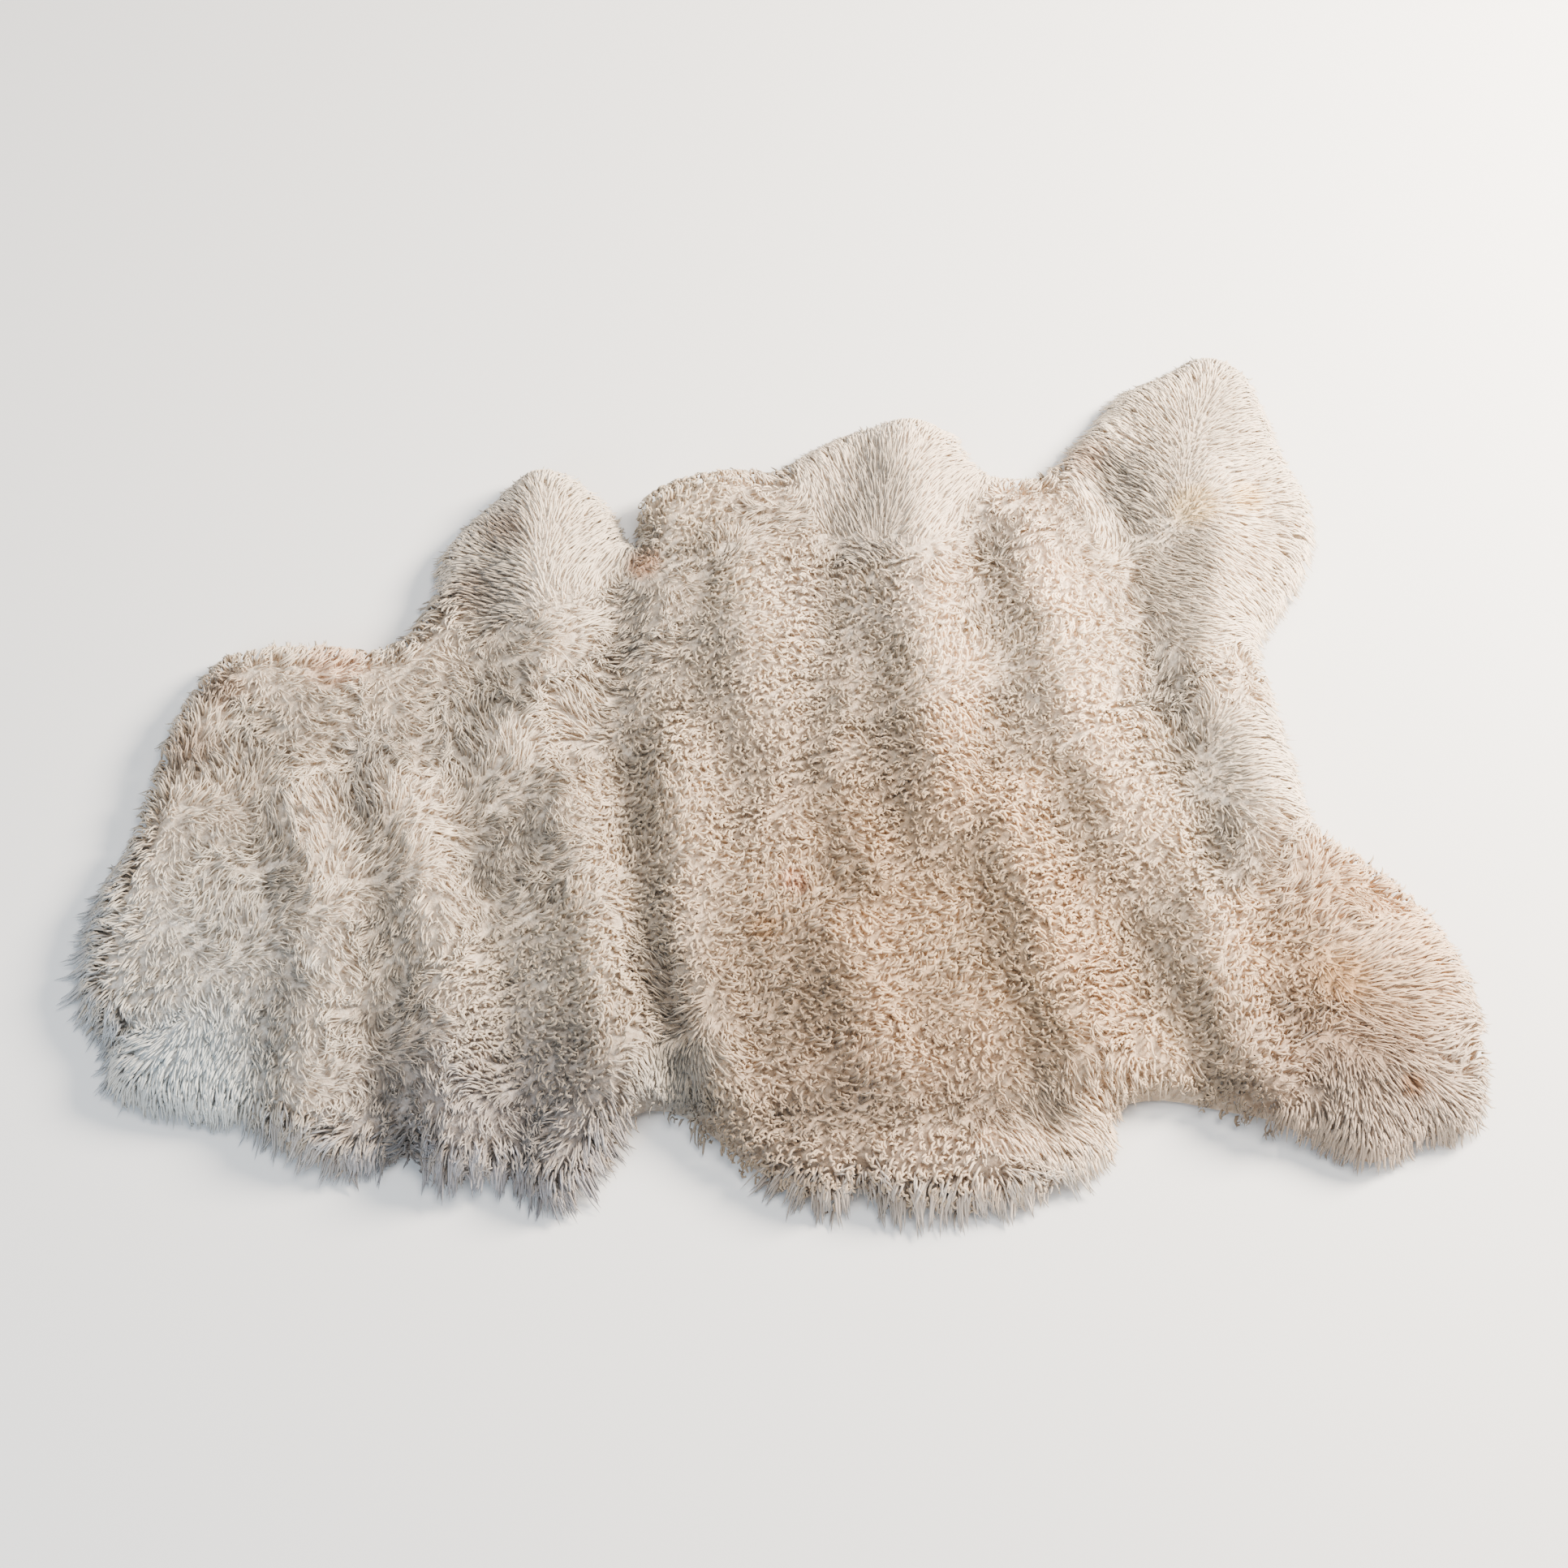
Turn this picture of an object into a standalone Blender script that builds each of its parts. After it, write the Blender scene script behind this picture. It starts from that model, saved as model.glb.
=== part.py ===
"""Sheepskin rug: one whole fleece with its wool on, spread on a floor with the wool side up.

The skin and the wool that grows from it are one piece, so the rug is one closed solid. Its plan is
the edge that the wool reaches, its underside is the tanned skin and its top is the mean surface of
the wool. +X runs from the rump to the neck, +Y to the far side, +Z up. Metres throughout.
"""

import math

import bpy
import numpy as np
from mathutils import Vector, noise
from mathutils.geometry import delaunay_2d_cdt

LENGTH = 1.085  # rump to near foreleg, wool included
WIDTH = 0.770  # near belly to far foreleg, wool included

WOOL_HEIGHT = 0.034  # mean height of the wool above the skin
HUMMOCK = 0.004  # how far the wool's surface stands above or below that mean
HUMMOCK_SPAN = 0.060  # distance over which the hummocks repeat
RIM_HEIGHT = 0.006  # where the wool's edge turns under, above the floor
ROLL_WIDTH = 0.034  # how far in from the edge the wool reaches its full height
UNDERCUT_WIDTH = 0.014  # how far in from the edge the skin meets the floor

EDGE_STEP = 0.013  # spacing of the points along the edge
RING_INSETS = (0.005, 0.014, 0.028)  # rings of points that shape the rolled edge
FIELD_STEP = 0.021  # spacing of the points inside the rings
FIELD_INSET = 0.040  # how far in from the edge those points start
KEEP_INSIDE = 1  # delaunay_2d_cdt's output type for only the triangles inside the rim
TOUCHING = 1e-6  # points this close count as one

WOOL_COLOUR = (0.62, 0.52, 0.42, 1.0)
WOOL_ROUGHNESS = 0.9

# The edge, one table for each part of the pelt, going clockwise as seen from above. Columns: x, y.
PELT_EDGE = {
    "far foreleg": (
        (0.215, 0.263), (0.262, 0.308), (0.290, 0.346), (0.332, 0.368), (0.370, 0.390), (0.402, 0.375),
        (0.420, 0.335), (0.432, 0.285), (0.452, 0.232), (0.449, 0.190), (0.422, 0.138),
    ),
    "neck": ((0.398, 0.102), (0.403, 0.055), (0.415, -0.008), (0.427, -0.060)),
    "near foreleg": (
        (0.465, -0.095), (0.512, -0.145), (0.537, -0.200), (0.540, -0.275), (0.525, -0.320),
        (0.487, -0.327), (0.445, -0.347), (0.410, -0.332), (0.345, -0.309), (0.280, -0.298),
    ),
    "near belly": (
        (0.253, -0.308), (0.254, -0.332), (0.200, -0.367), (0.150, -0.376), (0.080, -0.379),
        (0.060, -0.366), (0.046, -0.377), (-0.005, -0.362), (-0.045, -0.334), (-0.085, -0.307),
    ),
    "near hind leg": (
        (-0.112, -0.314), (-0.135, -0.350), (-0.165, -0.377), (-0.210, -0.355), (-0.255, -0.357),
        (-0.280, -0.343), (-0.330, -0.347),
    ),
    "rump": (
        (-0.405, -0.315), (-0.470, -0.304), (-0.510, -0.286), (-0.518, -0.248), (-0.543, -0.213),
        (-0.541, -0.135), (-0.520, -0.080), (-0.505, -0.005), (-0.490, 0.045), (-0.462, 0.088),
        (-0.425, 0.100), (-0.365, 0.099),
    ),
    "far hind leg": (
        (-0.325, 0.099), (-0.295, 0.140), (-0.286, 0.188), (-0.245, 0.240), (-0.207, 0.268),
        (-0.178, 0.261), (-0.148, 0.237),
    ),
    "far belly": (
        (-0.125, 0.197), (-0.122, 0.232), (-0.095, 0.254), (-0.030, 0.273), (-0.010, 0.269),
        (0.028, 0.293), (0.060, 0.309), (0.120, 0.317), (0.150, 0.307), (0.168, 0.275),
    ),
}

# Low folds in which the skin stands off the floor. Columns: crest as (x, y) stations, half width, lift.
SKIN_FOLDS = {
    "rump": (((-0.385, -0.040), (-0.350, -0.180), (-0.352, -0.330)), 0.042, 0.008),
    "near hind leg": (((-0.300, -0.050), (-0.258, -0.180), (-0.240, -0.350)), 0.040, 0.012),
    "loin": (((-0.165, -0.060), (-0.140, -0.170), (-0.120, -0.300)), 0.042, 0.014),
    "flank": (((-0.078, -0.010), (-0.066, -0.170), (-0.035, -0.305)), 0.036, 0.012),
    "far hind leg": (((-0.200, 0.250), (-0.185, 0.080), (-0.210, -0.010)), 0.048, 0.010),
    "far flank": (((-0.030, 0.170), (-0.015, 0.020)), 0.046, 0.008),
    "back": (((0.110, 0.300), (0.120, 0.080), (0.135, -0.060)), 0.050, 0.012),
    "shoulder": (((0.215, 0.180), (0.235, 0.050), (0.270, -0.060)), 0.046, 0.012),
    "neck": (((0.370, 0.240), (0.352, 0.080), (0.388, -0.060)), 0.044, 0.010),
    "near shoulder": (((0.180, -0.060), (0.215, -0.180), (0.235, -0.270)), 0.048, 0.012),
    "near foreleg": (((0.330, -0.150), (0.345, -0.220), (0.375, -0.310)), 0.036, 0.010),
    "near belly": (((0.055, -0.170), (0.075, -0.270)), 0.046, 0.008),
    "curled far belly": (((-0.112, 0.228), (-0.050, 0.244)), 0.030, 0.012),
}

# Valleys where the wool parts or is pressed down. Columns: line as (x, y) stations, half width, depth.
WOOL_VALLEYS = {
    "waist": (
        ((-0.125, 0.190), (-0.130, 0.020), (-0.112, -0.160), (-0.080, -0.256), (-0.068, -0.310)),
        0.026,
        0.010,
    ),
    "hind leg": (((-0.256, -0.062), (-0.204, -0.200), (-0.190, -0.340)), 0.026, 0.009),
    "rump": (((-0.412, -0.090), (-0.393, -0.135)), 0.024, 0.006),
    "tail": (((-0.312, -0.240), (-0.290, -0.345)), 0.016, 0.010),
    "far belly": (((0.047, 0.204), (0.042, 0.090), (0.023, -0.026), (0.047, -0.132)), 0.024, 0.006),
    "shoulder": (((0.286, 0.253), (0.298, 0.110), (0.325, -0.013), (0.346, -0.110)), 0.024, 0.009),
    "near foreleg": (((0.272, -0.161), (0.293, -0.210), (0.328, -0.300)), 0.024, 0.010),
    "foreleg": (((0.370, -0.220), (0.400, -0.310)), 0.018, 0.006),
    "flank": (((-0.060, -0.141), (-0.044, -0.218), (-0.013, -0.271)), 0.020, 0.006),
    "belly crease": (((-0.045, -0.314), (0.066, -0.302), (0.199, -0.308)), 0.018, 0.010),
}


def clear_scene():
    for old in list(bpy.data.objects):
        bpy.data.objects.remove(old, do_unlink=True)


def between(a, b, start, end, t):
    return a.lerp(b, (t - start) / (end - start))


def curve_point(p, knots, t):
    """The point at knot value t on the Catmull-Rom curve from p[1] to p[2]."""
    first = [between(p[k], p[k + 1], knots[k], knots[k + 1], t) for k in range(3)]
    second = [between(first[k], first[k + 1], knots[k], knots[k + 2], t) for k in range(2)]
    return between(second[0], second[1], knots[1], knots[2], t)


def smooth_loop(corners, step):
    """Points about step apart on the centripetal Catmull-Rom curve that closes through the corners."""
    points = []
    for i, corner in enumerate(corners):
        around = (corners[i - 1], corner, *(corners[(i + k) % len(corners)] for k in (1, 2)))
        p = [Vector(c) for c in around]
        knots = [0.0]
        for a, b in zip(p, p[1:]):
            knots.append(knots[-1] + math.sqrt((b - a).length))
        pieces = max(1, round((p[2] - p[1]).length / step))
        spacing = (knots[2] - knots[1]) / pieces
        points += [tuple(curve_point(p, knots, knots[1] + j * spacing)) for j in range(pieces)]
    return np.array(points)


def distance_to_line(points, stations, closed=False):
    """How far each point is from a line through the stations."""
    starts = np.asarray(stations, float)
    ends = np.roll(starts, -1, axis=0)
    if not closed:
        starts, ends = starts[:-1], ends[:-1]
    along = ends - starts
    from_start = points[:, None, :] - starts[None, :, :]
    share = (from_start * along).sum(2) / (along**2).sum(1)
    nearest = from_start - np.clip(share, 0, 1)[:, :, None] * along
    return np.sqrt((nearest**2).sum(2)).min(1)


def inside(points, loop):
    """Whether each point is inside the closed loop, by counting the edges to its right."""
    x, y = points[:, :1], points[:, 1:]
    x0, y0 = loop.T
    x1, y1 = np.roll(loop, -1, axis=0).T
    crosses = (y0 > y) != (y1 > y)
    rise = np.where(y1 == y0, 1.0, y1 - y0)
    at_x = x0 + (y - y0) * (x1 - x0) / rise
    return (crosses & (x < at_x)).sum(1) % 2 == 1


def inset_ring(loop, inset):
    """The loop moved inwards, without the points that would crowd the far side of a narrow lobe."""
    along = np.roll(loop, -1, axis=0) - np.roll(loop, 1, axis=0)
    along /= np.linalg.norm(along, axis=1)[:, None]
    inwards = np.stack([along[:, 1], -along[:, 0]], axis=1)  # the loop runs clockwise
    ring = loop + inset * inwards
    clear = distance_to_line(ring, loop, closed=True) > 0.93 * inset
    return ring[clear & inside(ring, loop)]


def field_points(loop):
    """A triangular grid that fills the pelt inside the rings."""
    low, high = loop.min(0), loop.max(0)
    row_step = FIELD_STEP * math.sqrt(3) / 2
    rows = np.arange(low[1], high[1], row_step)
    grid = [
        (x + FIELD_STEP / 2 * (i % 2), y)
        for i, y in enumerate(rows)
        for x in np.arange(low[0], high[0], FIELD_STEP)
    ]
    grid = np.array(grid)
    far_in = distance_to_line(grid, loop, closed=True) > FIELD_INSET
    return grid[far_in & inside(grid, loop)]


def thin_out(points, least):
    """The points in order, leaving out any that is closer than least to one already kept."""
    kept = []
    for point in points:
        if not kept or np.min(np.hypot(*(np.array(kept) - point).T)) >= least:
            kept.append(point)
    return np.array(kept)


def raised_by(points, folds):
    """The greatest rise that any fold gives at each point, falling off as a cosine bell."""
    rise = np.zeros(len(points))
    for stations, half_width, height in folds.values():
        share = np.clip(distance_to_line(points, stations) / half_width, 0, 1)
        rise = np.maximum(rise, height * (0.5 + 0.5 * np.cos(math.pi * share)))
    return rise


def hummocks(points):
    """Soft unevenness of the wool, from -1 to 1."""
    return np.array([noise.noise(Vector((x, y, 0)) / HUMMOCK_SPAN) for x, y in points])


def heights(points, edge_distance):
    """Height of the skin and of the wool's surface at each point."""
    fold = raised_by(points, SKIN_FOLDS)
    under = np.clip(1 - edge_distance / UNDERCUT_WIDTH, 0, 1) ** 2
    skin = fold + RIM_HEIGHT * under
    wool = WOOL_HEIGHT + HUMMOCK * hummocks(points) - raised_by(points, WOOL_VALLEYS)
    roll = np.clip(1 - edge_distance / ROLL_WIDTH, 0, 1)
    top = fold + RIM_HEIGHT + (wool - RIM_HEIGHT) * np.sqrt(1 - roll**2)
    return skin, top


def wool_material():
    material = bpy.data.materials.new("cream wool")
    material.use_nodes = True
    shader = material.node_tree.nodes["Principled BSDF"]
    shader.inputs["Base Color"].default_value = WOOL_COLOUR
    shader.inputs["Roughness"].default_value = WOOL_ROUGHNESS
    shader.inputs["Metallic"].default_value = 0.0
    material.diffuse_color = WOOL_COLOUR
    return material


def fitted_edge():
    """The edge as an even loop of points, brought to the rug's length and width about its centre."""
    corners = [corner for stretch in PELT_EDGE.values() for corner in stretch]
    loop = smooth_loop(corners, EDGE_STEP)
    low, high = loop.min(0), loop.max(0)
    return (loop - (low + high) / 2) * (LENGTH, WIDTH) / (high - low)


def build_sheepskin():
    edge = fitted_edge()
    rings = [inset_ring(edge, inset) for inset in RING_INSETS]
    inner = thin_out(np.concatenate([*rings, field_points(edge)]), RING_INSETS[0])
    plan = np.concatenate([edge, inner])
    rim_count = len(edge)
    rim_edges = [(i, (i + 1) % rim_count) for i in range(rim_count)]
    made = delaunay_2d_cdt([Vector(p) for p in plan], rim_edges, [], KEEP_INSIDE, TOUCHING)
    plan = np.array([tuple(v) for v in made[0]])
    triangles = [tuple(face) for face in made[2]]

    edge_distance = distance_to_line(plan, edge, closed=True)
    edge_distance[:rim_count] = 0.0
    skin, top = heights(plan, edge_distance)

    points = [(x, y, z) for (x, y), z in zip(plan, top)]
    below = list(range(rim_count))  # the rim's points belong to both faces
    for (x, y), z in zip(plan[rim_count:], skin[rim_count:]):
        below.append(len(points))
        points.append((x, y, z))
    faces = triangles + [tuple(below[i] for i in reversed(face)) for face in triangles]

    mesh = bpy.data.meshes.new("sheepskin")
    mesh.from_pydata(points, [], faces)
    mesh.validate()
    mesh.shade_smooth()
    mesh.materials.append(wool_material())
    sheepskin = bpy.data.objects.new("sheepskin", mesh)
    bpy.context.scene.collection.objects.link(sheepskin)
    return sheepskin


clear_scene()
build_sheepskin()
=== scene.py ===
"""Sheepskin rug: the looks of one whole fleece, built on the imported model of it.

The sections follow the pelt from the floor up: the tanned skin, the undercoat that fills the fleece,
the locks that stand on it, and last the floor, lights and camera. Metres throughout.
"""

import math

import bmesh
import bpy
import numpy as np
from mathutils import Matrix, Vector, noise
from mathutils.bvhtree import BVHTree
from mathutils.geometry import delaunay_2d_cdt


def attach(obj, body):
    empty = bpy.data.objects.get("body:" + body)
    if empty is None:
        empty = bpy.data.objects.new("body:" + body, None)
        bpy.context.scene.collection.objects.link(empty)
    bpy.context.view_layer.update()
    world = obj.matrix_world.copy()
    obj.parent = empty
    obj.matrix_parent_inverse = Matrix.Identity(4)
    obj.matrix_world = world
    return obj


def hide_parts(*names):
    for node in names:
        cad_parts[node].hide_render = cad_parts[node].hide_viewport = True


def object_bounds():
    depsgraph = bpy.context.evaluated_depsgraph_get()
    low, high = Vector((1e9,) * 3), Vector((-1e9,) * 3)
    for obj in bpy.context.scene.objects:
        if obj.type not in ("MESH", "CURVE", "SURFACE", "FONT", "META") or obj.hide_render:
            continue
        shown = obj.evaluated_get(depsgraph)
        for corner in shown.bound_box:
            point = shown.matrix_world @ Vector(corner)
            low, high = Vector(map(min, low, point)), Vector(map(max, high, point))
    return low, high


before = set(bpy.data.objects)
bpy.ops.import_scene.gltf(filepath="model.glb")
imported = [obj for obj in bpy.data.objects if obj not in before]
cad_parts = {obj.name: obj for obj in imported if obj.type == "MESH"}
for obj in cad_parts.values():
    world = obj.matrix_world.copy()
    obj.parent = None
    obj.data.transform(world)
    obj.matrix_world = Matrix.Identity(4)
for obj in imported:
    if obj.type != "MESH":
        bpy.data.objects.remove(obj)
cad_box = [list(map(float, corner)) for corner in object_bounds()]

# ---- The tanned skin -----------------------------------------------------------------------------
# One sheep's skin, tanned soft and cut to its natural outline. It lies flesh side down and stands off
# the floor in low folds. Its cut edge is set back from the reach of the wool, which overhangs it.

SKIN_THICKNESS = 0.002
SKIN_SET_BACK = 0.012  # from the wool's reach to the skin's cut edge
SKIN_STEP = 0.009
FOLDED_BACK = 0.95  # a corner nearer the rim than this share of the inset has folded over itself
CLEAR_OF_EDGE = 0.6  # of a step, from the outline's points to the nearest point inside
FAR = 1.0  # well above and below the pelt
SUEDE_CLOUDS = 9.0  # per metre
SUEDE_NAP = 900.0
SUEDE = (0.62, 0.49, 0.35)
SUEDE_SHADOW = (0.47, 0.35, 0.24)

packed = bpy.data.objects["sheepskin"]
solid = bmesh.new()
solid.from_mesh(packed.data)
bmesh.ops.remove_doubles(solid, verts=solid.verts, dist=1e-6)
solid_tree = BVHTree.FromBMesh(solid)


def rim_loop():
    """The solid's edge in plan, anticlockwise: where a face that looks up meets one that looks down."""
    after = {}
    for edge in solid.edges:
        up = [face for face in edge.link_faces if face.normal.z > 0]
        if len(up) != 1:
            continue
        corners = list(up[0].verts)
        a, b = edge.verts
        start = a if corners[(corners.index(a) + 1) % 3] == b else b
        after[start] = edge.other_vert(start)
    first = next(iter(after))
    loop, vert = [], first
    while not loop or vert != first:
        loop.append(tuple(vert.co))
        vert = after[vert]
    return np.array(loop)


def heights(plan, from_z, direction):
    """Height of the solid's first face on the way up or down at each point, or nan past the rim."""
    found = []
    for x, y in plan:
        hit = solid_tree.ray_cast(Vector((x, y, from_z)), Vector((0, 0, direction)))[0]
        found.append(hit.z if hit else math.nan)
    return np.array(found)


def to_rim(plan):
    """For each point: distance to the rim, unit direction to its nearest place, and that place's z."""
    starts = rim[:, :2]
    along = np.roll(starts, -1, axis=0) - starts
    from_start = plan[:, None, :] - starts
    share = np.clip((from_start * along).sum(2) / (along**2).sum(1), 0, 1)
    away = share[:, :, None] * along - from_start
    distance = np.sqrt((away**2).sum(2))
    nearest = distance.argmin(1)
    rows = np.arange(len(plan))
    distance, away = distance[rows, nearest], away[rows, nearest]
    return distance, away / np.maximum(distance, 1e-6)[:, None], rim[nearest, 2]


def inside_loop(plan, loop):
    x, y = plan[:, :1], plan[:, 1:]
    (x0, y0), (x1, y1) = loop.T, np.roll(loop, -1, axis=0).T
    crosses = (y0 > y) != (y1 > y)
    at_x = x0 + (y - y0) * (x1 - x0) / np.where(y1 == y0, 1.0, y1 - y0)
    return (crosses & (x < at_x)).sum(1) % 2 == 1


rim = rim_loop()


def plan_mesh(inset, step):
    """Points and triangles that fill the outline, moved inwards from the rim by inset."""
    along = np.roll(rim, -1, axis=0) - np.roll(rim, 1, axis=0)
    along = along[:, :2] / np.linalg.norm(along[:, :2], axis=1)[:, None]
    outline = rim[:, :2] + inset * np.stack([-along[:, 1], along[:, 0]], axis=1)
    kept = (to_rim(outline)[0] > FOLDED_BACK * inset) & inside_loop(outline, rim[:, :2])
    outline = outline[kept]
    low, high = outline.min(0), outline.max(0)
    rows = np.arange(low[1], high[1], step * math.sqrt(3) / 2)
    grid = [
        (x + step / 2 * (i % 2), y)
        for i, y in enumerate(rows)
        for x in np.arange(low[0], high[0], step)
    ]
    grid = np.array(grid)
    grid = grid[inside_loop(grid, rim[:, :2])]
    grid = grid[to_rim(grid)[0] > inset + CLEAR_OF_EDGE * step]
    edges = [(i, (i + 1) % len(outline)) for i in range(len(outline))]
    points = [Vector(p) for p in np.concatenate([outline, grid])]
    made = delaunay_2d_cdt(points, edges, [], 1, 1e-6)
    return np.array([tuple(v) for v in made[0]]), [tuple(face) for face in made[2]]


def object_from(name, points, faces):
    mesh = bpy.data.meshes.new(name)
    mesh.from_pydata([tuple(p) for p in points], [], faces)
    mesh.shade_smooth()
    made = bpy.data.objects.new(name, mesh)
    bpy.context.scene.collection.objects.link(made)
    return made


def closed_layer(name, plan, faces, low, high):
    """A closed body between two heights over one plan: faces above, below and round the edge."""
    count = len(plan)
    directed = {(face[i - 1], face[i]) for face in faces for i in range(3)}
    edge = [(b, a, a + count, b + count) for a, b in directed if (b, a) not in directed]
    below = [tuple(i + count for i in reversed(face)) for face in faces]
    points = np.concatenate([np.column_stack([plan, high]), np.column_stack([plan, low])])
    return object_from(name, points, faces + below + edge)


class Link:
    """A node's output, so that fields and shader values are written as Python expressions."""

    def __init__(self, graph, socket):
        self.graph, self.socket = graph, socket

    def out(self, output):
        return Link(self.graph, self.socket.node.outputs[output])

    def join(self, operation, *terms):
        vector = any(isinstance(t, Link) and t.socket.type in ("VECTOR", "RGBA") for t in terms)
        kind = "ShaderNodeVectorMath" if vector else "ShaderNodeMath"
        return self.graph.node(kind, {"operation": operation}, dict(enumerate(terms)))

    def __add__(self, other):
        return self.join("ADD", self, other)

    def __sub__(self, other):
        return self.join("SUBTRACT", self, other)

    def __mul__(self, other):
        return self.join("MULTIPLY", self, other)

    def __truediv__(self, other):
        return self.join("DIVIDE", self, other)

    def __pow__(self, other):
        return self.join("POWER", self, other)

    def __rsub__(self, other):
        return self.join("SUBTRACT", other, self)

    def __rtruediv__(self, other):
        return self.join("DIVIDE", other, self)

    __radd__, __rmul__ = __add__, __mul__


class Graph:
    """A node tree that is filled by node(), for materials and for Geometry Nodes alike."""

    def __init__(self, tree):
        self.tree = tree

    def node(self, kind, settings=(), inputs=(), output=0):
        made = self.tree.nodes.new(kind)
        for name, value in dict(settings).items():
            setattr(made, name, value)
        for key, value in dict(inputs).items():
            self.feed(made.inputs[key], value)
        return Link(self, made.outputs[output]) if made.outputs else made

    def feed(self, socket, value):
        if isinstance(value, Link):
            self.tree.links.new(value.socket, socket)
        elif socket.type == "RGBA" and len(value) == 3:
            socket.default_value = (*value, 1.0)
        elif socket.type == "VECTOR" and not hasattr(value, "__len__"):
            socket.default_value = (value,) * 3
        else:
            socket.default_value = value

    def vector_sum(self, operation, *terms):
        return self.node("ShaderNodeVectorMath", {"operation": operation}, dict(enumerate(terms)))

    def ramp(self, value, low, high, to_low=0.0, to_high=1.0):
        """value moved from one range to another by a smooth step, and held at its ends."""
        return self.node(
            "ShaderNodeMapRange",
            {"interpolation_type": "SMOOTHSTEP"},
            {0: value, 1: low, 2: high, 3: to_low, 4: to_high},
        )

    def mix(self, share, a, b):
        """A blend of two colours."""
        return self.node("ShaderNodeMix", {"data_type": "RGBA"}, {0: share, 6: a, 7: b}, 2)

    def noise(self, place, scale, detail=2.0, roughness=0.5):
        return self.node(
            "ShaderNodeTexNoise",
            {},
            {"Vector": place, "Scale": scale, "Detail": detail, "Roughness": roughness},
        )


def new_material(name):
    """A Principled material, with its graph and its shader node."""
    material = bpy.data.materials.new(name)
    material.use_nodes = True
    return material, Graph(material.node_tree), material.node_tree.nodes["Principled BSDF"]


def suede():
    material, graph, shader = new_material("tanned suede")
    place = graph.node("ShaderNodeTexCoord", output="Object")
    cloud = graph.noise(place, SUEDE_CLOUDS, 4.0)
    nap = graph.noise(place, SUEDE_NAP, 2.0)
    colour = graph.mix(graph.ramp(cloud, 0.35, 0.7), SUEDE, SUEDE_SHADOW)
    bump = graph.node("ShaderNodeBump", {}, {"Strength": 0.4, "Distance": 0.0004, "Height": nap})
    graph.feed(shader.inputs["Base Color"], colour)
    graph.feed(shader.inputs["Roughness"], graph.ramp(nap, 0.3, 0.7, 0.82, 0.95))
    graph.feed(shader.inputs["Normal"], bump)
    return material


skin_plan, skin_faces = plan_mesh(SKIN_SET_BACK, SKIN_STEP)
skin_low = heights(skin_plan, -FAR, 1.0)
skin = closed_layer("skin", skin_plan, skin_faces, skin_low, skin_low + SKIN_THICKNESS)
skin.data.materials.append(suede())

# ---- The lie of the fleece -----------------------------------------------------------------------
# How the wool grows over the pelt: combed smooth and outwards on the legs and neck, in tight curls
# over the back and belly, and in loose tufts on the rump. All the wool is grown from this map, which
# also carries the painted shade and light of the wool's colour.

MAP_STEP = 0.0075
MAP_MARGIN = 0.036
COMBED = (  # centre x, y and radius
    (-0.195, 0.185, 0.085),
    (0.093, 0.260, 0.095),
    (0.350, 0.270, 0.110),
    (0.385, 0.150, 0.085),
    (0.385, -0.020, 0.050),
    (0.480, -0.200, 0.055),
    (0.460, -0.310, 0.065),
    (-0.450, -0.290, 0.060),
    (-0.085, -0.285, 0.030),
    (0.215, -0.340, 0.050),
)
CURLY = (  # the same
    (-0.010, -0.060, 0.150),
    (0.100, -0.170, 0.150),
    (0.030, 0.080, 0.110),
    (0.180, 0.060, 0.110),
    (0.250, -0.090, 0.110),
    (0.345, -0.215, 0.085),
    (0.040, -0.345, 0.110),
    (-0.090, 0.205, 0.050),
    (-0.170, -0.220, 0.080),
)
# Beside each of these lines the wool's colour also takes painted shade, as strong as the depth given.
CREASES = (  # from x, y to x, y, half width and depth, where the wool parts or is pressed in
    (0.060, -0.330, 0.062, -0.386, 0.006, 1.0),
    (-0.280, -0.305, -0.274, -0.352, 0.010, 1.0),
    (-0.098, -0.305, -0.028, -0.320, 0.014, 0.8),
    (0.275, -0.302, 0.400, -0.300, 0.016, 0.8),
    (-0.112, 0.172, -0.045, 0.168, 0.008, 0.9),
    (0.155, -0.352, 0.215, -0.366, 0.010, 0.7),
    (-0.028, -0.318, 0.175, -0.310, 0.009, 0.45),
)
CREASE_LEAN = 0.7  # how far the wool beside a crease turns away from it
WAVER_SIZE = 0.04  # of the unevenness in where one kind of wool gives way to another
WAVER = 0.025
SWIRL_SIZE = 0.085
SWIRL_START = -0.9  # the lie's usual direction, in radians
SWIRL_TURN = 4.2
COMBED_SHARE = 0.85  # how strictly combed wool points outwards
EDGE_BAND = 0.045  # along the rim, where all wool turns outwards
RIM_BAND = 0.018  # along the rim, where it leans less, so that few tips pass the rim
ROOTED_FROM = 0.005  # from the rim
PAST_RIM_LEAST = 0.0015  # height of the hanging wool past the rim
PAST_RIM_FALL = 0.25
OUTWARD_BLUR = 10
SLOPE_BLUR = 3
VALLEY_BLUR = 24
VALLEY_DEPTH = 0.0045  # at which a valley's painted shade is darkest, and a ridge's painted light brightest
PAINTED_SLOPE_SHADE = 3.2  # how strongly slopes are painted: shade on those that face away from the key light, light on those that face it


def soft_discs(plan, discs, soft=0.035):
    """1 inside any of the discs, falling softly to 0 past its edge, uneven as wool is."""
    most = np.zeros(len(plan))
    waver = np.array([noise.noise(Vector((x, y, 3.0)) / WAVER_SIZE) for x, y in plan]) * WAVER
    for x, y, radius in discs:
        past = np.hypot(plan[:, 0] - x, plan[:, 1] - y) - radius + waver
        most = np.maximum(most, np.clip(0.5 - past / soft, 0, 1))
    return most


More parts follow.
